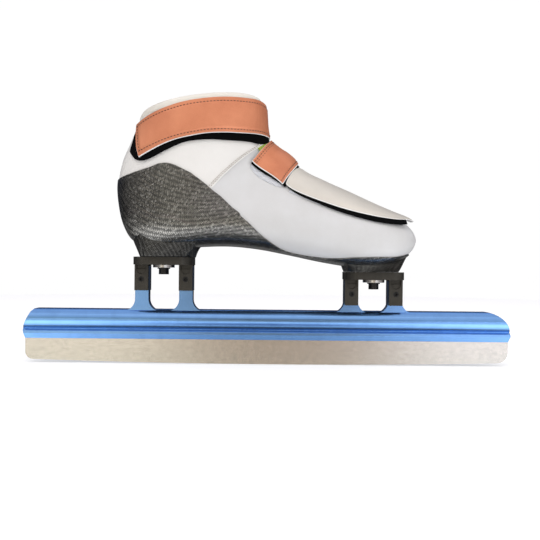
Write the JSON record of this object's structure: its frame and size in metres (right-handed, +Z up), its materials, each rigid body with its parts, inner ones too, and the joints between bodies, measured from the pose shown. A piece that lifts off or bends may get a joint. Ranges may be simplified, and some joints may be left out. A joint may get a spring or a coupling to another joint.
{
  "type": "short-track speed skate",
  "caption": "Short-track speed skate: white boot in a carbon shell, copper straps, lace cover, black brackets, blue blade tube and a long flat blade.",
  "frame": {"origin": "middle of the blade's ice edge", "axes": "+X towards the toe along the blade, +Z up, the blade in the plane y = 0; -Y is the wearer's outer side of a right skate"},
  "size_m": [0.4459, 0.0979, 0.2408],
  "materials": {
    "blade_steel": "satin ground steel",
    "tube_blue": "blue anodised, polished",
    "bracket_black": "black anodised, satin",
    "bolt_black": "black oxide",
    "washer_steel": "zinc plated",
    "insert_steel": "plain steel",
    "carbon_weave": "twill carbon in clear resin",
    "upper_white": "white coated leather",
    "padding_cream": "soft cream leather",
    "lining_grey": "grey microfibre",
    "insole_grey": "dark foam with fabric top",
    "tongue_grey": "light grey padded mesh",
    "eyelet_steel": "plated",
    "lace_yellow": "yellow-green woven lace",
    "cover_pearl": "pearl cream coated leather",
    "hook_black": "black hook fastener",
    "loop_white": "white loop fastener",
    "loop_black": "black loop fastener",
    "strap_copper": "copper metallic coated leather"
  },
  "bodies": {
    "root": {"heel_bolt": "bolt_black", "toe_bolt": "bolt_black", "heel_washer": "washer_steel", "toe_washer": "washer_steel", "heel_insert": "insert_steel", "toe_insert": "insert_steel", "heel_block": "carbon_weave", "toe_block": "carbon_weave", "carbon_shell": "carbon_weave", "quarter": "upper_white", "vamp": "upper_white", "toe_cap": "upper_white", "heel_lining": "lining_grey", "collar_padding": "padding_cream", "insole": "insole_grey", "tongue": "tongue_grey", "eyelets_lateral": "eyelet_steel", "eyelets_medial": "eyelet_steel", "laces": "lace_yellow", "cover_loop_strip": "loop_white", "instep_strap_anchor": "strap_copper", "instep_loop_patch": "loop_white", "ankle_strap_anchor": "strap_copper", "ankle_loop_patch": "loop_black"},
    "blade_unit": {"blade": "blade_steel", "blade_tube": "tube_blue", "tube_plug_rear": "tube_blue", "tube_plug_front": "tube_blue", "heel_bracket": "bracket_black", "toe_bracket": "bracket_black", "post_set_screws": "bolt_black"},
    "lace_cover": {"lace_cover": "cover_pearl", "cover_hook_strip": "hook_black"},
    "instep_strap": {"instep_strap": "strap_copper", "instep_hook_patch": "hook_black"},
    "ankle_strap": {"ankle_strap": "strap_copper", "ankle_hook_patch": "hook_black"}
  },
  "joints": [
    {"name": "blade_offset", "type": "slide", "parent": "root", "child": "blade_unit", "axis": [0, 1, 0], "range_m": [-0.005, 0.005]},
    {"name": "ankle_strap_hinge", "type": "hinge", "parent": "root", "child": "ankle_strap", "pos_m": [-0.001, 0.0032, 0.22], "axis": [-0.168, 0, 0.9858], "range_deg": [0, 72]},
    {"name": "instep_strap_hinge", "type": "hinge", "parent": "root", "child": "instep_strap", "pos_m": [0.013, 0.0049, 0.1895], "axis": [-0.7874, 0, 0.6164], "range_deg": [0, 107]},
    {"name": "lace_cover_hinge", "type": "hinge", "parent": "root", "child": "lace_cover", "pos_m": [0.069, 0.0174, 0.1555], "axis": [-0.9352, 0, 0.3541], "range_deg": [0, 110]}
  ]
}
